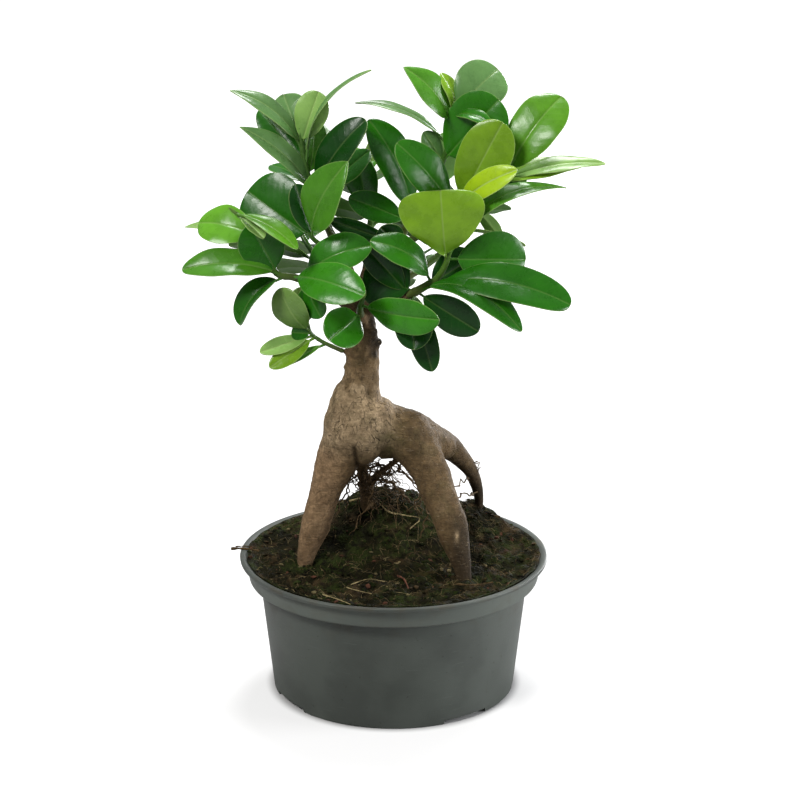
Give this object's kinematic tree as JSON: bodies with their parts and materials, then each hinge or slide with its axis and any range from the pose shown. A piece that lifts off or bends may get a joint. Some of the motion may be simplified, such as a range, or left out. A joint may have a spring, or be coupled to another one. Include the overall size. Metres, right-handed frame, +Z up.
{
  "type": "ficus ginseng bonsai in a pot",
  "caption": "Ficus bonsai with swollen bare root legs, a short trunk and glossy oval leaves, standing in soil in a round dark plastic bowl pot.",
  "frame": {"origin": "on the pot's axis, at the level of the surface that the pot stands on", "axes": "+Z up, -Y to the front of the plant as pictured, +X to its right"},
  "size_m": [0.1965, 0.15, 0.3058],
  "materials": {
    "pot_plastic": "dark grey-green moulded plastic, slightly satin",
    "peat": "dark moist peat with moss and pale fibres",
    "bark": "grey-tan bark with fine cross lines and cracks",
    "leaf": "glossy green leaves, paler on the young ones"
  },
  "bodies": {
    "root": {"pot": "pot_plastic", "soil": "peat", "trunk": "bark", "shoot_left": "leaf", "shoot_upper_left": "leaf", "shoot_centre_left": "leaf", "shoot_top": "leaf", "shoot_upper_right": "leaf", "shoot_right": "leaf", "shoot_front": "leaf", "shoot_low_left": "leaf", "shoot_back_left": "leaf", "shoot_back": "leaf", "shoot_back_right": "leaf", "shoot_back_low": "leaf"}
  },
  "joints": []
}
